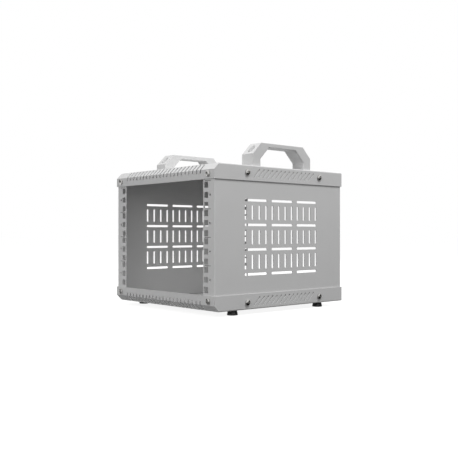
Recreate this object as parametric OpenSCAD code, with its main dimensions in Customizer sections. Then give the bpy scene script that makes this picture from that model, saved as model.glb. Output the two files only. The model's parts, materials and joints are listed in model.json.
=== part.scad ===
// Desktop rack, open at the front and the back. Two folded side panels carry
// the rails with their square holes, and a folded cover closes them above and
// below. Two handles stand on the top cover and four feet under the bottom one.
// The front faces -Y and +Z is up. The origin is on the floor, under the middle
// of the case. All sizes are in millimetres.

/* [Rack space] */
// Rack units between the two covers
rack_units = 4; // [1:1:12]
// Height of one rack unit
unit_h = 44.45; // [40:0.05:60]
// Distance between the hole columns of the two rails
hole_span = 236.525; // [200:0.005:480]
// Side of each square rail hole
square_hole = 9.5; // [8:0.1:11]
// From the end of a unit to the centre of its nearest hole
hole_end = 6.35; // [6.2:0.05:9]
// From a hole column to the inner edge of its rail
rail_edge = 7.4; // [7:0.01:20]
// From a hole column to the outside of the case
side_margin = 21.87; // [18:0.01:60]
// Diameter of the round index hole beside each middle hole
index_d = 4; // [2:0.1:5]
// From a hole column to its index holes
index_offset = 9.25; // [8:0.05:12]
// Length of the line engraved at the top of each unit
mark_len = 15; // [8:0.5:18]
// Width of that line
mark_w = 1; // [0.5:0.1:1.4]
// Depth of that line
mark_depth = 0.3; // [0.1:0.05:0.5]
// From a hole column to the middle of that line
mark_offset = 3.74; // [0:0.01:6]

/* [Case] */
// Depth of the case
body_d = 302.7; // [180:0.1:600]
// Thickness of the sheet steel with its coat on both sides
sheet = 1.4; // [0.8:0.1:2]
// Inside radius of the folds
bend_in = 0.5; // [0.4:0.1:2]
// Height of the flanges around each cover
flange_h = 25; // [22:0.5:40]
// Gap between the end of the rack space and the cover flanges
lip_clear = 2.6; // [1:0.1:10]
// Height and depth of the chamfer along the front of each cover
chamfer = 10; // [5:0.5:12]
// Gap between the cut edges of a side panel and the covers
edge_clear = 0.3; // [0.1:0.05:1]
// How far the side screws, side vents and handles are set back from the middle
side_setback = 3.8; // [0:0.1:10]

/* [Cover openings] */
// Width of the slots across the front chamfer
slot_w = 3.6; // [1:0.1:5]
// Spacing of those slots
slot_pitch = 10; // [6:0.5:20]
// How far those slots run down the front flange
slot_run = 6; // [3:0.5:7]
// Plain strip between those slots and the back edge of the chamfer
slot_land = 0.9; // [0.5:0.1:3]
// Least distance from the side of the case to the first of those slots
slot_margin = 35; // [25:0.5:60]
// Width of the slanted vents in the side flanges
vent_w = 2.5; // [1:0.1:4]
// Length of those vents
vent_len = 20; // [8:0.5:22]
// Spacing of those vents
vent_pitch = 10; // [6:0.5:20]
// Slant of those vents
vent_angle = 45; // [30:1:60]
// Least distance from a side screw to the nearest vent
vent_margin = 20; // [14:0.5:40]

/* [Side grille] */
// Width of all grille slots
grille_w = 4; // [2:0.5:6]
// Length of the level slots
level_len = 50; // [30:1:80]
// Gap between level slots in one row
level_gap = 10.5; // [6:0.5:30]
// Spacing of the rows of level slots
level_pitch = 40; // [25:0.5:60]
// Upright slots in each block
upright_count = 4; // [2:1:6]
// Gap between the upright slots and the level ones
upright_gap = 6; // [3:0.5:8]
// How far the grille is set forward of the middle
grille_forward = 1.2; // [-5:0.1:5]
// Least plain margin in front of and behind the grille
grille_margin_y = 55; // [30:1:80]
// Least plain margin above and below the grille, within the rack space
grille_margin_z = 20; // [5:0.5:40]

/* [Handles] */
// Length of each handle
handle_len = 138; // [100:1:170]
// Width of each handle
handle_w = 27; // [18:0.5:40]
// Height of each handle above the cover
handle_h = 39.5; // [34:0.5:60]
// Thickness of the grip
grip_t = 6.5; // [5:0.5:12]
// Thickness of each leg
leg_t = 18; // [14:0.5:25]
// Chamfer at the outer corners
handle_chamfer = 19; // [8:0.5:22]
// Chamfer at the corners of the finger gap
finger_chamfer = 20.5; // [6:0.5:24]
// From the side of the case to the handle
handle_inset = 5.2; // [2:0.1:30]
// Plastic left under each handle screw
seat_t = 10; // [6:0.5:12]
// Diameter of the recess above each handle screw
recess_d = 12; // [9.5:0.1:13]

/* [Feet] */
// Height of each foot
foot_h = 8.5; // [7:0.5:20]
// Diameter of each foot at the floor
foot_d = 18; // [14:0.5:30]
// Diameter of each foot at the cover
foot_top_d = 14.5; // [12:0.5:26]
// Bevel around the bottom of each foot
foot_bevel = 0.6; // [0.2:0.1:1]
// From the side of the case to the middle of each foot
foot_inset_x = 15; // [12:0.5:40]
// From the front and the back of the case to the middle of each foot
foot_inset_y = 50; // [20:1:80]
// From the floor up to the screw head inside each foot
foot_head_gap = 2.4; // [1:0.1:2.8]

/* [Case screws] */
// Thread diameter of the screws in the case and the handles
screw_d = 5; // [3:0.5:6]
// Diameter of the pan heads
head_d = 9.5; // [8:0.1:10]
// Height of the pan heads
head_h = 3.7; // [2.5:0.05:4.5]
// Upright rim around the pan heads
head_rim = 2.1; // [0.2:0.1:2.2]
// Length of both arms of the cross recess in those heads
cross_len = 4.9; // [3:0.1:6]
// Width of those arms
cross_w = 1.2; // [0.8:0.1:1.6]
// Depth of that recess
cross_depth = 2; // [1:0.1:2.4]
// From the side of the case to the front and rear screws
end_screw_inset = 15; // [13:0.5:20]
// From the ends of the case to the side screws, before they are set back
side_screw_inset = 65.3; // [30:0.1:90]
// How far the case screws are set off the middle of their flange, away from the rack space
screw_offset = 0.9; // [0:0.1:2]
// Diameter of the clinch nuts
clinch_d = 9; // [8:0.1:11]
// Height of the clinch nuts
clinch_h = 4; // [3:0.1:6]
// How far each screw stands out of its nut
screw_proud = 1.5; // [0.5:0.1:4]
// Gap around each screw in its hole
screw_clear = 0.25; // [0.1:0.05:0.5]
// Gap between a screw and the bore of its nut
thread_clear = 0.05; // [0.02:0.01:0.1]
// Chamfer on each screw tip
tip_chamfer = 0.5; // [0.2:0.1:0.8]

/* [Handle and foot fasteners] */
// Width across flats of the sockets in the handle and foot screws
key_w = 3; // [2:0.1:4]
// Depth of those sockets
key_depth = 1.7; // [1:0.1:2]
// Diameter of the handle screw heads
cap_d = 8.5; // [7:0.1:9]
// Height of the handle screw heads
cap_h = 5; // [3:0.1:6]
// Width across flats of the handle nuts
handle_nut_w = 8; // [7.5:0.1:10]
// Height of the handle nuts
handle_nut_h = 5; // [4:0.1:7]
// Diameter of the flange on the handle nuts
nut_flange_d = 11.5; // [11:0.1:14]
// Thickness of that flange
nut_flange_t = 1.2; // [0.8:0.1:2]
// Thread diameter of the foot screws
foot_screw_d = 4; // [3:0.5:5]
// Diameter of the foot screw heads
foot_cap_d = 7; // [6:0.1:8]
// Height of the foot screw heads
foot_cap_h = 2.6; // [2:0.1:3]
// Width across flats of the foot nuts
foot_nut_w = 7; // [6.5:0.1:9]
// Height of the foot nuts
foot_nut_h = 3.2; // [2.4:0.1:5]

/* [Hidden] */
$fn = 48;
// Length by which a cut runs past the face that it leaves
over = 1;
hexagon = 6;
// Straight steps that stand for a quarter turn of a fold
fold_steps = 6;

steel_grey = [0.74, 0.74, 0.74];
plastic_grey = [0.80, 0.80, 0.80];
rubber_black = [0.06, 0.06, 0.06];
nickel = [0.62, 0.62, 0.60];
zinc = [0.55, 0.57, 0.60];

body_w = hole_span + 2 * side_margin;
bay_h = rack_units * unit_h;
body_h = bay_h + 2 * (lip_clear + flange_h);
mid_z = foot_h + body_h / 2;
front_y = -body_d / 2;
rear_y = body_d / 2;
bend_out = bend_in + sheet;

panel_x = body_w / 2 - sheet;
rail_x = hole_span / 2 - rail_edge;
rail_y = rear_y - sheet;
panel_half = body_h / 2 - sheet - bend_in - edge_clear;
// The chamfered corners of a panel lie this far inside the covers' chamfer
corner_shift = (sheet + edge_clear) * sqrt(2);
corner_z = body_h / 2 - chamfer + sheet - corner_shift;
corner_y = panel_half - corner_z - rail_y;

// Along the chamfer, the run down the flange is seen shortened
slot_reach = slot_run / sqrt(2);
slot_len = sqrt(2) * chamfer - slot_land + slot_reach;
slot_depth = slot_reach + 2 * sheet;
slot_count = 1 + floor((body_w - 2 * slot_margin) / slot_pitch);
side_screw_y = body_d / 2 - side_screw_inset;
vent_count = 1 + floor(2 * (side_screw_y - vent_margin) / vent_pitch);
end_screw_x = body_w / 2 - end_screw_inset;
// Depths of the screws below the outer face of a cover
front_screw_drop = (chamfer + flange_h) / 2 - screw_offset;
flange_screw_drop = flange_h / 2 - screw_offset;

block_pitch = level_len + level_gap;
block_count = floor((body_d - 2 * grille_margin_y + level_gap) / block_pitch);
row_count = 1 + floor((bay_h - 2 * grille_margin_z - grille_w) / level_pitch);
upright_len = level_pitch - grille_w - 2 * upright_gap;
upright_pitch = (level_len - grille_w) / (upright_count - 1);

handle_x = body_w / 2 - handle_inset - handle_w / 2;
leg_y = (handle_len - leg_t) / 2;
foot_x = body_w / 2 - foot_inset_x;
foot_y = body_d / 2 - foot_inset_y;
foot_seat_t = foot_h - foot_head_gap - foot_cap_h;

case_screw_len = 2 * sheet + clinch_h + screw_proud;
handle_screw_len = seat_t + sheet + handle_nut_h + screw_proud;
foot_screw_len = foot_seat_t + sheet + foot_nut_h + screw_proud;

// Position of copy i in a row of n copies about zero
function spread(i, n, pitch) = (i - (n - 1) / 2) * pitch;

// Height and depth of the front chamfer, measured on a surface inside the cover
function inner_chamfer(inset) = chamfer - inset * (2 - sqrt(2));

// Points of a quarter turn about a centre, from one angle to another
function fold(centre, r, from, to) = [
    for (i = [0 : fold_steps])
        let (a = from + (to - from) * i / fold_steps)
            centre + r * [cos(a), sin(a)]
];

// Extrudes a shape drawn in the YZ plane from x0 to x1
module along_x(x0, x1) {
    translate([x0, 0, 0])
        rotate([90, 0, 90])
            linear_extrude(x1 - x0)
                children();
}

// Extrudes a shape drawn in the XZ plane from y0 to y1
module along_y(y0, y1) {
    translate([0, y1, 0])
        rotate([90, 0, 0])
            linear_extrude(y1 - y0)
                children();
}

// Slot outline with round ends, along the first axis
module obround(length, width) {
    square([length - width, width], center = true);
    for (end = [-1, 1])
        translate([end * (length - width) / 2, 0])
            circle(d = width);
}

// Side view of a cover, with its outer face at zero
module cover_side_view(inset, depth) {
    slope = inner_chamfer(inset);
    round_r = bend_out - inset;
    y0 = front_y + inset;
    y1 = rear_y - inset;
    polygon(concat(
        [[y0, -depth], [y0, -inset - slope], [y0 + slope, -inset]],
        fold([y1 - round_r, -inset - round_r], round_r, 90, 0),
        [[y1, -depth]]
    ));
}

// Front view of a cover, with its outer face at zero
module cover_front_view(inset, depth) {
    half = body_w / 2 - inset;
    round_r = bend_out - inset;
    polygon(concat(
        [[-half, -depth]],
        fold([round_r - half, -inset - round_r], round_r, 180, 90),
        fold([half - round_r, -inset - round_r], round_r, 90, 0),
        [[half, -depth]]
    ));
}

// Solid block of a cover's outline, drawn in by an inset
module cover_block(inset, depth) {
    intersection() {
        along_x(-body_w / 2 - over, body_w / 2 + over)
            cover_side_view(inset, depth + over);
        along_y(front_y - over, rear_y + over)
            cover_front_view(inset, depth);
    }
}

// Slots square to the chamfer, from the front flange to just before its back edge
module front_slots() {
    translate([0, front_y + chamfer / 2, -chamfer / 2])
        rotate([45, 0, 0])
            translate([0, 0, -slot_depth])
                linear_extrude(slot_depth + over)
                    for (i = [0 : slot_count - 1])
                        translate([spread(i, slot_count, slot_pitch), -(slot_land + slot_reach) / 2])
                            rotate(90)
                                obround(slot_len, slot_w);
}

// Slanted vents in one side flange, rising to the right as seen from outside
module flange_vents(side) {
    x = side * (body_w - sheet) / 2;
    along_x(x - sheet, x + sheet)
        for (i = [0 : vent_count - 1])
            translate([side_setback + spread(i, vent_count, vent_pitch), -flange_h / 2])
                rotate(side * vent_angle)
                    obround(vent_len, vent_w);
}

module screw_hole_shape() {
    circle(d = screw_d + 2 * screw_clear);
}

// Screw holes in the four flanges of a cover
module cover_screw_holes() {
    for (side = [-1, 1]) {
        x = side * (body_w - sheet) / 2;
        along_y(front_y - over, front_y + sheet + over)
            translate([side * end_screw_x, -front_screw_drop])
                screw_hole_shape();
        along_y(rear_y - sheet - over, rear_y + over)
            translate([side * end_screw_x, -flange_screw_drop])
                screw_hole_shape();
        along_x(x - sheet, x + sheet)
            for (end = [-1, 1])
                translate([side_setback + end * side_screw_y, -flange_screw_drop])
                    screw_hole_shape();
    }
}

// Folded cover without the holes in its flat part, outer face at zero
module cover_sheet() {
    difference() {
        cover_block(0, flange_h);
        cover_block(sheet, flange_h + over);
        front_slots();
        for (side = [-1, 1])
            flange_vents(side);
        cover_screw_holes();
    }
}

module top_cover() {
    color(steel_grey)
        translate([0, 0, mid_z + body_h / 2])
            difference() {
                cover_sheet();
                for (side = [-1, 1], end = [-1, 1])
                    translate([side * handle_x, side_setback + end * leg_y, -sheet - over])
                        cylinder(d = screw_d + 2 * screw_clear, h = sheet + 2 * over);
            }
}

// The same folded sheet turned over, with holes for the feet
module bottom_cover() {
    color(steel_grey)
        translate([0, 0, foot_h])
            difference() {
                rotate([0, 180, 0])
                    cover_sheet();
                for (side = [-1, 1], end = [-1, 1])
                    translate([side * foot_x, end * foot_y, -over])
                        cylinder(d = foot_screw_d + 2 * screw_clear, h = sheet + 2 * over);
            }
}

// Plan view of the right side panel, folded in at the front and at the back
module panel_plan() {
    fold_x = panel_x - bend_out;
    fold_y = rail_y - bend_out;
    polygon(concat(
        [[rail_x, -rail_y]],
        fold([fold_x, -fold_y], bend_out, -90, 0),
        fold([fold_x, fold_y], bend_out, 0, 90),
        [[rail_x, rail_y], [rail_x, rail_y - sheet]],
        fold([fold_x, fold_y], bend_in, 90, 0),
        fold([fold_x, -fold_y], bend_in, 0, -90),
        [[rail_x, sheet - rail_y]]
    ));
}

// Front corners of a panel, above and below, where the covers' chamfers pass
module panel_corners() {
    for (level = [0, 1])
        mirror([0, level])
            polygon([
                [-rail_y - over, corner_z - over],
                [corner_y + over, panel_half + over],
                [-rail_y - over, panel_half + over]
            ]);
}

// Blocks of upright slots between rows of level slots
module grille_shape() {
    for (column = [0 : block_count - 1]) {
        y = spread(column, block_count, block_pitch) - grille_forward;
        for (row = [0 : row_count - 1])
            translate([y, spread(row, row_count, level_pitch)])
                obround(level_len, grille_w);
        if (row_count > 1)
            for (row = [0 : row_count - 2], i = [0 : upright_count - 1])
                translate([
                    y + spread(i, upright_count, upright_pitch),
                    spread(row, row_count - 1, level_pitch)
                ])
                    rotate(90)
                        obround(upright_len, grille_w);
    }
}

// Square holes and index holes of one rail, about the middle of the rack space
module rail_hole_shapes() {
    for (unit = [0 : rack_units - 1]) {
        z = spread(unit, rack_units, unit_h);
        for (step = [-1, 0, 1])
            translate([hole_span / 2, z + step * (unit_h / 2 - hole_end)])
                square(square_hole, center = true);
        translate([hole_span / 2 + index_offset, z])
            circle(d = index_d);
    }
}

// Lines at the top of each unit of one rail
module rail_mark_shapes() {
    for (unit = [0 : rack_units - 1])
        translate([hole_span / 2 + mark_offset, spread(unit, rack_units, unit_h) + unit_h / 2])
            square([mark_len, mark_w], center = true);
}

// Holes for the screws that hold one panel to both covers
module panel_screw_holes() {
    for (level = [-1, 1]) {
        along_y(-rail_y - over, over - rail_y + sheet)
            translate([end_screw_x, level * (body_h / 2 - front_screw_drop)])
                screw_hole_shape();
        along_y(rail_y - sheet - over, rail_y + over)
            translate([end_screw_x, level * (body_h / 2 - flange_screw_drop)])
                screw_hole_shape();
        along_x(panel_x - sheet - over, panel_x + over)
            for (end = [-1, 1])
                translate([side_setback + end * side_screw_y, level * (body_h / 2 - flange_screw_drop)])
                    screw_hole_shape();
    }
}

// Right side panel with a rail folded in at the front and at the back
module right_panel_sheet() {
    translate([0, 0, mid_z])
        difference() {
            translate([0, 0, -panel_half])
                linear_extrude(2 * panel_half)
                    panel_plan();
            along_x(rail_x - over, panel_x + over)
                panel_corners();
            along_x(panel_x - sheet - over, panel_x + over)
                grille_shape();
            along_y(-rail_y - over, rail_y + over)
                rail_hole_shapes();
            along_y(-rail_y - over, mark_depth - rail_y)
                rail_mark_shapes();
            along_y(rail_y - mark_depth, rail_y + over)
                rail_mark_shapes();
            panel_screw_holes();
        }
}

module right_side_panel() {
    color(steel_grey)
        right_panel_sheet();
}

module left_side_panel() {
    color(steel_grey)
        mirror([1, 0, 0])
            right_panel_sheet();
}

// Side view of a handle, standing on zero
module handle_side_view() {
    half = handle_len / 2;
    gap = half - leg_t;
    gap_h = handle_h - grip_t;
    polygon([
        [-half, 0],
        [-half, handle_h - handle_chamfer],
        [handle_chamfer - half, handle_h],
        [half - handle_chamfer, handle_h],
        [half, handle_h - handle_chamfer],
        [half, 0],
        [gap, 0],
        [gap, gap_h - finger_chamfer],
        [gap - finger_chamfer, gap_h],
        [finger_chamfer - gap, gap_h],
        [-gap, gap_h - finger_chamfer],
        [-gap, 0]
    ]);
}

// Handle with a recessed screw hole down each leg
module handle(side) {
    color(plastic_grey)
        translate([side * handle_x, side_setback, mid_z + body_h / 2])
            difference() {
                along_x(-handle_w / 2, handle_w / 2)
                    handle_side_view();
                for (end = [-1, 1])
                    translate([0, end * leg_y, 0]) {
                        translate([0, 0, -over])
                            cylinder(d = screw_d + 2 * screw_clear, h = seat_t + 2 * over);
                        translate([0, 0, seat_t])
                            cylinder(d = recess_d, h = handle_h);
                    }
            }
}

module left_handle() {
    handle(-1);
}

module right_handle() {
    handle(1);
}

// Flared foot, hollowed from below around its screw
module foot(side, end) {
    hole_r = foot_screw_d / 2 + screw_clear;
    hollow_r = foot_cap_d / 2 + 2 * screw_clear;
    color(rubber_black)
        translate([side * foot_x, end * foot_y, 0])
            rotate_extrude()
                polygon([
                    [hollow_r, 0],
                    [foot_d / 2 - foot_bevel, 0],
                    [foot_d / 2, foot_bevel],
                    [foot_top_d / 2, foot_h],
                    [hole_r, foot_h],
                    [hole_r, foot_h - foot_seat_t],
                    [hollow_r, foot_h - foot_seat_t]
                ]);
}

module front_left_foot() {
    foot(-1, -1);
}

module front_right_foot() {
    foot(1, -1);
}

module rear_left_foot() {
    foot(-1, 1);
}

module rear_right_foot() {
    foot(1, 1);
}

// Half section of a screw shank below zero, with a chamfered tip
module shank_shape(diameter, length) {
    r = diameter / 2 - thread_clear;
    polygon([
        [0, 0],
        [r, 0],
        [r, tip_chamfer - length],
        [r - tip_chamfer, -length],
        [0, -length]
    ]);
}

// Hexagon socket cut down from a given height
module hexagon_socket(width, depth) {
    translate([0, 0, -depth])
        cylinder(d = width / cos(180 / hexagon), h = depth + over, $fn = hexagon);
}

// Cross recess cut down from a given height
module cross_recess() {
    for (turn = [0, 90])
        rotate([0, 0, turn])
            translate([-cross_len / 2, -cross_w / 2, -cross_depth])
                cube([cross_len, cross_w, cross_depth + over]);
}

// Pan-head screw, its head seated on zero
module pan_screw() {
    dome_h = head_h - head_rim;
    dome_r = (pow(head_d / 2, 2) + pow(dome_h, 2)) / (2 * dome_h);
    color(nickel)
        difference() {
            rotate_extrude() {
                intersection() {
                    translate([0, head_h - dome_r])
                        circle(r = dome_r);
                    square([head_d / 2, head_h]);
                }
                shank_shape(screw_d, case_screw_len);
            }
            translate([0, 0, head_h])
                cross_recess();
        }
}

// Clinch nut behind both sheets, as seen from the head of its screw
module clinch_nut() {
    color(zinc)
        translate([0, 0, -2 * sheet - clinch_h])
            difference() {
                cylinder(d = clinch_d, h = clinch_h);
                translate([0, 0, -over])
                    cylinder(d = screw_d, h = clinch_h + 2 * over);
            }
}

// Cap screw, its head seated on zero
module cap_screw(head_width, head_height, diameter, length) {
    color(nickel)
        difference() {
            rotate_extrude() {
                square([head_width / 2, head_height]);
                shank_shape(diameter, length);
            }
            translate([0, 0, head_height])
                hexagon_socket(key_w, key_depth);
        }
}

// Hexagon nut standing on zero, joined to the flange that is given with it
module hexagon_nut(width, height, bore) {
    color(zinc)
        difference() {
            union() {
                cylinder(d = width / cos(180 / hexagon), h = height, $fn = hexagon);
                children();
            }
            translate([0, 0, -over])
                cylinder(d = bore, h = height + 2 * over);
        }
}

// Places of the screws in one front flange, pointing out
module front_places(level) {
    for (side = [-1, 1])
        translate([side * end_screw_x, front_y, mid_z + level * (body_h / 2 - front_screw_drop)])
            rotate([90, 0, 0])
                children();
}

// Places of the screws in one rear flange, pointing out
module rear_places(level) {
    for (side = [-1, 1])
        translate([side * end_screw_x, rear_y, mid_z + level * (body_h / 2 - flange_screw_drop)])
            rotate([-90, 0, 0])
                children();
}

// Places of the screws in one side flange, pointing out
module side_places(side, level) {
    z = mid_z + level * (body_h / 2 - flange_screw_drop);
    for (end = [-1, 1])
        translate([side * body_w / 2, side_setback + end * side_screw_y, z])
            rotate([0, side * 90, 0])
                children();
}

// Middles of both legs of one handle, at the outer face of the top cover
module handle_places(side) {
    for (end = [-1, 1])
        translate([side * handle_x, side_setback + end * leg_y, mid_z + body_h / 2])
            children();
}

// Middles of the feet, at the outer face of the bottom cover, pointing down
module foot_places() {
    for (side = [-1, 1], end = [-1, 1])
        translate([side * foot_x, end * foot_y, foot_h])
            rotate([180, 0, 0])
                children();
}

module top_front_screws() {
    front_places(1)
        pan_screw();
}

module top_rear_screws() {
    rear_places(1)
        pan_screw();
}

module top_left_screws() {
    side_places(-1, 1)
        pan_screw();
}

module top_right_screws() {
    side_places(1, 1)
        pan_screw();
}

module bottom_front_screws() {
    front_places(-1)
        pan_screw();
}

module bottom_rear_screws() {
    rear_places(-1)
        pan_screw();
}

module bottom_left_screws() {
    side_places(-1, -1)
        pan_screw();
}

module bottom_right_screws() {
    side_places(1, -1)
        pan_screw();
}

module top_front_nuts() {
    front_places(1)
        clinch_nut();
}

module top_rear_nuts() {
    rear_places(1)
        clinch_nut();
}

module top_left_nuts() {
    side_places(-1, 1)
        clinch_nut();
}

module top_right_nuts() {
    side_places(1, 1)
        clinch_nut();
}

module bottom_front_nuts() {
    front_places(-1)
        clinch_nut();
}

module bottom_rear_nuts() {
    rear_places(-1)
        clinch_nut();
}

module bottom_left_nuts() {
    side_places(-1, -1)
        clinch_nut();
}

module bottom_right_nuts() {
    side_places(1, -1)
        clinch_nut();
}

// Screws down the legs of one handle
module handle_screws(side) {
    handle_places(side)
        translate([0, 0, seat_t])
            cap_screw(cap_d, cap_h, screw_d, handle_screw_len);
}

// Flanged nuts of one handle, against the underside of the top cover
module handle_nuts(side) {
    handle_places(side)
        translate([0, 0, -sheet])
            rotate([180, 0, 0])
                hexagon_nut(handle_nut_w, handle_nut_h, screw_d)
                    cylinder(d = nut_flange_d, h = nut_flange_t);
}

module left_handle_screws() {
    handle_screws(-1);
}

module right_handle_screws() {
    handle_screws(1);
}

module left_handle_nuts() {
    handle_nuts(-1);
}

module right_handle_nuts() {
    handle_nuts(1);
}

// Screws up through the feet
module foot_screws() {
    foot_places()
        translate([0, 0, foot_seat_t])
            cap_screw(foot_cap_d, foot_cap_h, foot_screw_d, foot_screw_len);
}

// Plain nuts on the inside of the bottom cover
module foot_nuts() {
    foot_places()
        translate([0, 0, -sheet])
            rotate([180, 0, 0])
                hexagon_nut(foot_nut_w, foot_nut_h, foot_screw_d);
}

top_cover();
bottom_cover();
left_side_panel();
right_side_panel();
left_handle();
right_handle();
front_left_foot();
front_right_foot();
rear_left_foot();
rear_right_foot();
top_front_screws();
top_rear_screws();
top_left_screws();
top_right_screws();
bottom_front_screws();
bottom_rear_screws();
bottom_left_screws();
bottom_right_screws();
top_front_nuts();
top_rear_nuts();
top_left_nuts();
top_right_nuts();
bottom_front_nuts();
bottom_rear_nuts();
bottom_left_nuts();
bottom_right_nuts();
left_handle_screws();
right_handle_screws();
left_handle_nuts();
right_handle_nuts();
foot_screws();
foot_nuts();
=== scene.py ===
"""Looks of a desktop rack: powder-coated sheet steel, moulded handles, rubber feet and plated screws."""
import json
import math
from itertools import product

import bpy
from mathutils import Euler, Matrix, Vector


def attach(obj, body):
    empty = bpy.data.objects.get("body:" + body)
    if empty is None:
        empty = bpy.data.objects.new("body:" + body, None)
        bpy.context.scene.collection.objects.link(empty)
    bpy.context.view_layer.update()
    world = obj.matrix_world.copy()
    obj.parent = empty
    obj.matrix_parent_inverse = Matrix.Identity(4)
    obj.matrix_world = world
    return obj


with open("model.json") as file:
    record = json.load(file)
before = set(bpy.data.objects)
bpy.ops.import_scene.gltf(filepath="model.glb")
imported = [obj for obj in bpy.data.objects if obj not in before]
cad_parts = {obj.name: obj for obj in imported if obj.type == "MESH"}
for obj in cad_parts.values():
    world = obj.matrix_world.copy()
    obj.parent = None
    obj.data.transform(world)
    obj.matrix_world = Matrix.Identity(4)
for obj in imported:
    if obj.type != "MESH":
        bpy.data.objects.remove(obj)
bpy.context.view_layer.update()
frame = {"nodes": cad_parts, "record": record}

MM = 0.001

# Camera, as it stood for the photograph
CAMERA_PLACE = (972.53 * MM, -848.15 * MM, 132.19 * MM)
CAMERA_TURN = math.radians(48.884)
CAMERA_TILT = math.radians(0.307)
CAMERA_LENS = 55.25
CAMERA_SENSOR = 36.0

# Floor: half its side in metres, its own tone, and the glow and the shadow that the camera sees on it
FLOOR_HALF = 30.0
FLOOR_TONE = "#525252"
FLOOR_GLOW = 0.89
FLOOR_SHADOW = "#8A8A8A"

# Room: the white that the camera sees, and the light that falls on the rack from all sides
BACKDROP_GLOW = 1.0
ROOM_LIGHT = 0.43

# Lamps: their distance, and the point that they look at, in metres
LAMP_FAR = 2.0
LAMP_AIM = (0, 0, 0.12)
# Turn from the front and height above the floor in degrees, side in metres, and strength
LAMPS = {
    "key": (98, 60, 0.8, 0.78),
    "front_fill": (11, 26, 1.2, 0.39),
    "rear_fill": (180, 12, 0.9, 0.76),
    "left_fill": (270, 15, 1.2, 0.2),
}

# Felt cards that darken the screws' reflections: tone, one corner, and two sides from it, in metres
BLACK_FELT = "#060606"
GREY_FELT = "#6E6E6E"
CARDS = {
    "side_floor_card": (BLACK_FELT, (0.141, -0.3, 0.001), (1.1, 0, 0), (0, 1.5, 0)),
    "front_floor_card": (GREY_FELT, (-0.19, -1.4, 0.001), (0.9, 0, 0), (0, 1.244, 0)),
    "rear_card": (BLACK_FELT, (-0.3, 1.2, 0), (1.54, 0, 0), (0, 0, 0.6)),
    "right_card": (BLACK_FELT, (1.24, 0.45, 0), (0, 0.75, 0), (0, 0, 0.6)),
    "left_card": (BLACK_FELT, (-1.16, 0.31, 0.3), (0.96, -1.9, -0.3), (0, 0, 0.5)),
}

# Largest edge radii of the finished pieces, and the steps that draw them.
# Where edges lie close together, as at the folds of the sheets, a radius is held back.
COAT_EDGE = 0.3 * MM
MOULD_EDGE = 1.0 * MM
FINGER_EDGE = 4.0 * MM
RUBBER_EDGE = 0.5 * MM
SCREW_EDGE = 0.15 * MM
NUT_EDGE = 0.2 * MM
EDGE_STEPS = 2
FINGER_STEPS = 4

# Corners closer than this are one, faces that turn less than this are one, and edges past this are sharp
ONE_CORNER = 0.001 * MM
ONE_FACE = math.radians(0.5)
SHARP = math.radians(30)

# Space for the fingers in the handles: its middle along the case, half its length, and its top
FINGER_MIDDLE = 3.8 * MM
FINGER_REACH = 52 * MM
FINGER_TOP = 270 * MM

# Lines at the top of each rack unit, in the grooves of the four rails
UNITS = 4
UNIT = 44.45 * MM
BAY_BOTTOM = 36.1 * MM
LINE_ACROSS = 122.0025 * MM
LINE_SIZE = (14.8 * MM, 0.15 * MM, 0.9 * MM)
GROOVE_BOTTOM = 149.65 * MM


def linear(code):
    """Linear colour of an sRGB hex code."""
    parts = [int(code[i:i + 2], 16) / 255 for i in (1, 3, 5)]
    return tuple(p / 12.92 if p <= 0.04045 else ((p + 0.055) / 1.055) ** 2.4 for p in parts) + (1.0,)


def add(tree, kind, settings=None, links=None):
    """Adds a node: settings name its inputs or its own properties, and links feed its inputs."""
    node = tree.nodes.new(kind)
    for name, value in (settings or {}).items():
        if isinstance(name, int) or name in node.inputs:
            node.inputs[name].default_value = value
        else:
            setattr(node, name, value)
    for name, output in (links or {}).items():
        tree.links.new(output, node.inputs[name])
    return node


def put(name, data):
    """Puts a new object in the scene."""
    thing = bpy.data.objects.new(name, data)
    bpy.context.scene.collection.objects.link(thing)
    return thing


# Materials
def new_finish(name):
    """A material with its shader and a texture position in metres, in the rack's own frame."""
    finish = bpy.data.materials.new(name)
    finish.use_nodes = True
    tree = finish.node_tree
    return finish, tree, tree.nodes["Principled BSDF"], add(tree, "ShaderNodeTexCoord").outputs["Object"]


def per_metre(size_mm):
    """Texture scale at which one feature of a pattern is about this large."""
    return 1 / (size_mm * MM)


def vary(tree, shader, pattern, tones=None, gloss=None):
    """Lets a pattern swing a finish between two tones, between two roughnesses, or both."""
    if tones:
        tone = add(tree, "ShaderNodeValToRGB", links={"Fac": pattern})
        for stop, code in zip(tone.color_ramp.elements, tones):
            stop.color = linear(code)
        tree.links.new(tone.outputs["Color"], shader.inputs["Base Color"])
    if gloss:
        rough = add(tree, "ShaderNodeMapRange", {"To Min": gloss[0], "To Max": gloss[1]}, {"Value": pattern})
        tree.links.new(rough.outputs["Result"], shader.inputs["Roughness"])


def powder_coated_steel():
    """Light grey polyester powder, sprayed on and baked: an even satin face with a faint orange peel."""
    finish, tree, shader, place = new_finish("powder_coated_steel")
    cloud = add(tree, "ShaderNodeTexNoise", {"Scale": per_metre(45), "Detail": 2.0}, {"Vector": place})
    vary(tree, shader, cloud.outputs["Fac"], tones=("#C9C9C9", "#CDCDCD"))
    # The peel of a real coat is about 1 mm across, and is drawn at 2.5 mm so that it shows
    peel = add(tree, "ShaderNodeTexNoise", {"Scale": per_metre(2.5), "Detail": 3.0}, {"Vector": place})
    vary(tree, shader, peel.outputs["Fac"], gloss=(0.44, 0.56))
    bump = add(tree, "ShaderNodeBump", {"Strength": 0.12, "Distance": 0.15 * MM},
               {"Height": peel.outputs["Fac"]})
    tree.links.new(bump.outputs["Normal"], shader.inputs["Normal"])
    shader.inputs["IOR"].default_value = 1.5
    return finish


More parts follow.
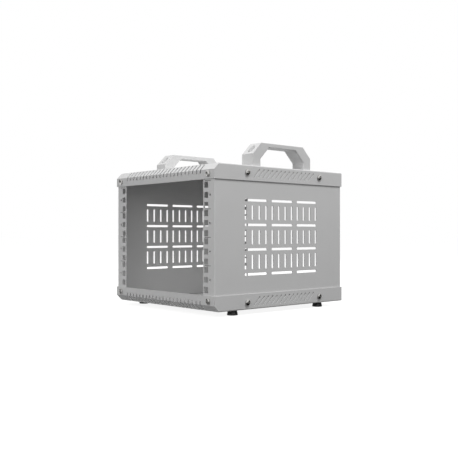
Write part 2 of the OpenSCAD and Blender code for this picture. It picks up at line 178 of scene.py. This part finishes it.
def moulded_nylon():
    """Light grey glass-filled nylon from a spark-eroded mould: a dry, fine-grained face."""
    finish, tree, shader, place = new_finish("moulded_nylon")
    flow = add(tree, "ShaderNodeTexNoise", {"Scale": per_metre(20), "Detail": 2.0}, {"Vector": place})
    vary(tree, shader, flow.outputs["Fac"], tones=("#C9C9C9", "#CFCFCF"))
    # Spark grain is about 0.1 mm across, and is drawn at 1 mm so that it shows
    grain = add(tree, "ShaderNodeTexNoise", {"Scale": per_metre(1.0), "Detail": 4.0}, {"Vector": place})
    vary(tree, shader, grain.outputs["Fac"], gloss=(0.5, 0.62))
    bump = add(tree, "ShaderNodeBump", {"Strength": 0.15, "Distance": 0.08 * MM},
               {"Height": grain.outputs["Fac"]})
    tree.links.new(bump.outputs["Normal"], shader.inputs["Normal"])
    shader.inputs["IOR"].default_value = 1.53
    return finish


def moulded_rubber():
    """Black nitrile rubber, pressed in a polished mould: nearly black, with a broad soft highlight."""
    finish, tree, shader, place = new_finish("moulded_rubber")
    bloom = add(tree, "ShaderNodeTexNoise", {"Scale": per_metre(3), "Detail": 3.0}, {"Vector": place})
    vary(tree, shader, bloom.outputs["Fac"], ("#121212", "#1C1C1C"), (0.3, 0.42))
    shader.inputs["IOR"].default_value = 1.52
    return finish


def nickel_plated_steel():
    """Steel screws with bright nickel over the cold-formed head: a grey mirror with slight ripples."""
    finish, tree, shader, place = new_finish("nickel_plated_steel")
    ripple = add(tree, "ShaderNodeTexNoise", {"Scale": per_metre(1.5), "Detail": 2.0}, {"Vector": place})
    vary(tree, shader, ripple.outputs["Fac"], ("#BFBEBC", "#C9C8C6"), (0.18, 0.26))
    shader.inputs["Metallic"].default_value = 1.0
    return finish


def zinc_plated_steel():
    """Steel nuts with a dull zinc coat: bluish grey metal with blotches of lighter crystal."""
    finish, tree, shader, place = new_finish("zinc_plated_steel")
    crystal = add(tree, "ShaderNodeTexVoronoi", {"Scale": per_metre(1.2)}, {"Vector": place})
    vary(tree, shader, crystal.outputs["Distance"], ("#A3A8AD", "#B9BDC1"), (0.3, 0.45))
    shader.inputs["Metallic"].default_value = 1.0
    return finish


def stoved_enamel():
    """Grey stoving enamel wiped into the engraved lines: flat, with slightly uneven cover."""
    finish, tree, shader, place = new_finish("stoved_enamel")
    cover = add(tree, "ShaderNodeTexNoise", {"Scale": per_metre(2), "Detail": 2.0}, {"Vector": place})
    vary(tree, shader, cover.outputs["Fac"], tones=("#4A4A4A", "#5C5C5C"))
    shader.inputs["Roughness"].default_value = 0.6
    shader.inputs["IOR"].default_value = 1.5
    return finish


# Pieces
def finger_edges():
    """Weighs the sharp edges of a handle: full on the legs beside the fingers, and less elsewhere."""
    tree = bpy.data.node_groups.new("finger_edges", "GeometryNodeTree")
    tree.interface.new_socket("Geometry", in_out="INPUT", socket_type="NodeSocketGeometry")
    tree.interface.new_socket("Geometry", in_out="OUTPUT", socket_type="NodeSocketGeometry")
    solid = add(tree, "NodeGroupInput")
    place = add(tree, "ShaderNodeSeparateXYZ", links={0: add(tree, "GeometryNodeInputPosition").outputs[0]})
    along = add(tree, "ShaderNodeMath", {"operation": "SUBTRACT", 1: FINGER_MIDDLE}, {0: place.outputs["Y"]})
    along = add(tree, "ShaderNodeMath", {"operation": "ABSOLUTE"}, {0: along.outputs[0]})
    between = add(tree, "ShaderNodeMath", {"operation": "LESS_THAN", 1: FINGER_REACH}, {0: along.outputs[0]})
    under = add(tree, "ShaderNodeMath", {"operation": "LESS_THAN", 1: FINGER_TOP}, {0: place.outputs["Z"]})
    inside = add(tree, "ShaderNodeMath", {"operation": "MULTIPLY"},
                 {0: between.outputs[0], 1: under.outputs[0]})
    weight = add(tree, "ShaderNodeMapRange", {"To Min": MOULD_EDGE / FINGER_EDGE, "To Max": 1.0},
                 {"Value": inside.outputs[0]})
    bend = add(tree, "GeometryNodeInputMeshEdgeAngle")
    sharp = add(tree, "ShaderNodeMath", {"operation": "GREATER_THAN", 1: SHARP}, {0: bend.outputs[0]})
    weight = add(tree, "ShaderNodeMath", {"operation": "MULTIPLY"},
                 {0: weight.outputs[0], 1: sharp.outputs[0]})
    marked = add(tree, "GeometryNodeStoreNamedAttribute",
                 {"domain": "EDGE", "data_type": "FLOAT", "Name": "bevel_weight_edge"},
                 {"Geometry": solid.outputs[0], "Value": weight.outputs[0]})
    add(tree, "NodeGroupOutput", links={0: marked.outputs[0]})
    return tree


def dress(piece, finish, edge, steps, weights=None):
    """Gives a solid its finish and rounds its sharp edges, or those that have a weight."""
    piece.data.materials.clear()
    piece.data.materials.append(finish)
    weld = piece.modifiers.new("weld", "WELD")
    weld.merge_threshold = ONE_CORNER
    flat = piece.modifiers.new("flat_faces", "DECIMATE")
    flat.decimate_type = "DISSOLVE"
    flat.angle_limit = ONE_FACE
    if weights:
        piece.modifiers.new(weights.name, "NODES").node_group = weights
    rounding = piece.modifiers.new("round_edges", "BEVEL")
    rounding.width = edge
    rounding.segments = steps
    rounding.limit_method = "WEIGHT" if weights else "ANGLE"
    rounding.angle_limit = SHARP
    rounding.harden_normals = True


def make_unit_lines():
    """Paint in the line at the top of each unit, on the two front rails and the two rear ones."""
    size = Vector(LINE_SIZE)
    depth = GROOVE_BOTTOM + size.y / 2
    box = [Vector(signs) * size / 2 for signs in product((-1, 1), repeat=3)]
    sides = ((0, 1, 3, 2), (4, 6, 7, 5), (0, 4, 5, 1), (2, 3, 7, 6), (0, 2, 6, 4), (1, 5, 7, 3))
    corners, faces = [], []
    for side, end, unit in product((-1, 1), (-1, 1), range(UNITS)):
        middle = Vector((side * LINE_ACROSS, end * depth, BAY_BOTTOM + (unit + 1) * UNIT))
        faces += [[len(corners) + i for i in face] for face in sides]
        corners += [middle + corner for corner in box]
    mesh = bpy.data.meshes.new("unit_lines")
    mesh.from_pydata(corners, [], faces)
    mesh.materials.append(stoved_enamel())
    lines = put("unit_lines", mesh)
    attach(lines, "root")


# What each of the record's finishes is made of, and how its edges are rounded
FINISHES = {
    "powder_coat": (powder_coated_steel(), COAT_EDGE, EDGE_STEPS),
    "handle_plastic": (moulded_nylon(), FINGER_EDGE, FINGER_STEPS, finger_edges()),
    "foot_rubber": (moulded_rubber(), RUBBER_EDGE, EDGE_STEPS),
    "nickel_screw": (nickel_plated_steel(), SCREW_EDGE, EDGE_STEPS),
    "zinc_nut": (zinc_plated_steel(), NUT_EDGE, EDGE_STEPS),
}

for part in frame["record"]["subparts"]:
    dress(frame["nodes"][part["node"]], *FINISHES[part["material_slot"]])

make_unit_lines()


# Stage
def seen(tree):
    """Is one for rays from the camera, a mirror or glass, and zero for rays that only bring light."""
    path = add(tree, "ShaderNodeLightPath")
    mirrored = add(tree, "ShaderNodeMath", {"operation": "MAXIMUM"},
                   {0: path.outputs["Is Camera Ray"], 1: path.outputs["Is Glossy Ray"]})
    through = add(tree, "ShaderNodeMath", {"operation": "MAXIMUM"},
                  {0: mirrored.outputs[0], 1: path.outputs["Is Transmission Ray"]})
    return through.outputs[0]


def put_flat(name, finish, corner, along, across):
    """Puts a flat face in the scene, from one corner along two of its sides."""
    corner, along, across = Vector(corner), Vector(along), Vector(across)
    mesh = bpy.data.meshes.new(name)
    mesh.from_pydata([corner, corner + along, corner + along + across, corner + across], [], [(0, 1, 2, 3)])
    mesh.materials.append(finish)
    return put(name, mesh)


def make_floor():
    """Plain pale floor that shows white to the camera and keeps the rack's shadow."""
    finish = bpy.data.materials.new("floor")
    finish.use_nodes = True
    tree = finish.node_tree
    tree.nodes.clear()
    white = add(tree, "ShaderNodeEmission", {"Strength": FLOOR_GLOW})
    shadow = add(tree, "ShaderNodeBsdfDiffuse", {"Color": linear(FLOOR_SHADOW)})
    lit = add(tree, "ShaderNodeAddShader", links={0: white.outputs[0], 1: shadow.outputs[0]})
    dull = add(tree, "ShaderNodeBsdfDiffuse", {"Color": linear(FLOOR_TONE)})
    mix = add(tree, "ShaderNodeMixShader", links={0: seen(tree), 1: dull.outputs[0], 2: lit.outputs[0]})
    add(tree, "ShaderNodeOutputMaterial", links={"Surface": mix.outputs[0]})
    side = 2 * FLOOR_HALF
    plane = put_flat("floor", finish, (-FLOOR_HALF, -FLOOR_HALF, 0), (side, 0, 0), (0, side, 0))


def make_world():
    """White room that lights the rack evenly from all sides."""
    world = bpy.data.worlds.new("white_room")
    bpy.context.scene.world = world
    world.use_nodes = True
    tree = world.node_tree
    tree.nodes.clear()
    shown = add(tree, "ShaderNodeBackground", {"Color": linear("#FFFFFF"), "Strength": BACKDROP_GLOW})
    room = add(tree, "ShaderNodeBackground", {"Color": linear("#FFFFFF"), "Strength": ROOM_LIGHT})
    mix = add(tree, "ShaderNodeMixShader", links={0: seen(tree), 1: room.outputs[0], 2: shown.outputs[0]})
    add(tree, "ShaderNodeOutputWorld", links={"Surface": mix.outputs[0]})


def make_softbox(name, turn, height, size, strength):
    """Square lamp that looks at the rack and isn't mirrored in it."""
    turn, height = math.radians(turn), math.radians(height)
    way = Vector((math.sin(turn) * math.cos(height), -math.cos(turn) * math.cos(height), math.sin(height)))
    lamp = bpy.data.lights.new(name, "AREA")
    lamp.size = size
    # A strength of 1 makes a white card that faces the lamp look white
    lamp.energy = strength * (math.pi * LAMP_FAR) ** 2
    box = put(name, lamp)
    box.location = Vector(LAMP_AIM) + LAMP_FAR * way
    box.rotation_euler = way.to_track_quat("Z", "Y").to_euler()
    box.visible_glossy = False


def make_card(name, tone, corner, along, across):
    """Flat felt card that shows only in the metal's reflections."""
    felt = bpy.data.materials.new(name)
    felt.use_nodes = True
    shader = felt.node_tree.nodes["Principled BSDF"]
    shader.inputs["Base Color"].default_value = linear(tone)
    shader.inputs["Roughness"].default_value = 1.0
    card = put_flat(name, felt, corner, along, across)
    card.visible_camera = card.visible_diffuse = card.visible_shadow = card.visible_transmission = False


def make_camera():
    """Camera at the photograph's place."""
    data = bpy.data.cameras.new("camera")
    data.lens = CAMERA_LENS
    data.sensor_width = CAMERA_SENSOR
    camera = put("camera", data)
    camera.location = CAMERA_PLACE
    camera.rotation_euler = Euler((math.pi / 2 + CAMERA_TILT, 0, CAMERA_TURN))
    bpy.context.scene.camera = camera


make_floor()
make_world()
for lamp_name, lamp_place in LAMPS.items():
    make_softbox(lamp_name, *lamp_place)
for card_name, card_cut in CARDS.items():
    make_card(card_name, *card_cut)
make_camera()
bpy.context.scene.view_settings.view_transform = "Standard"
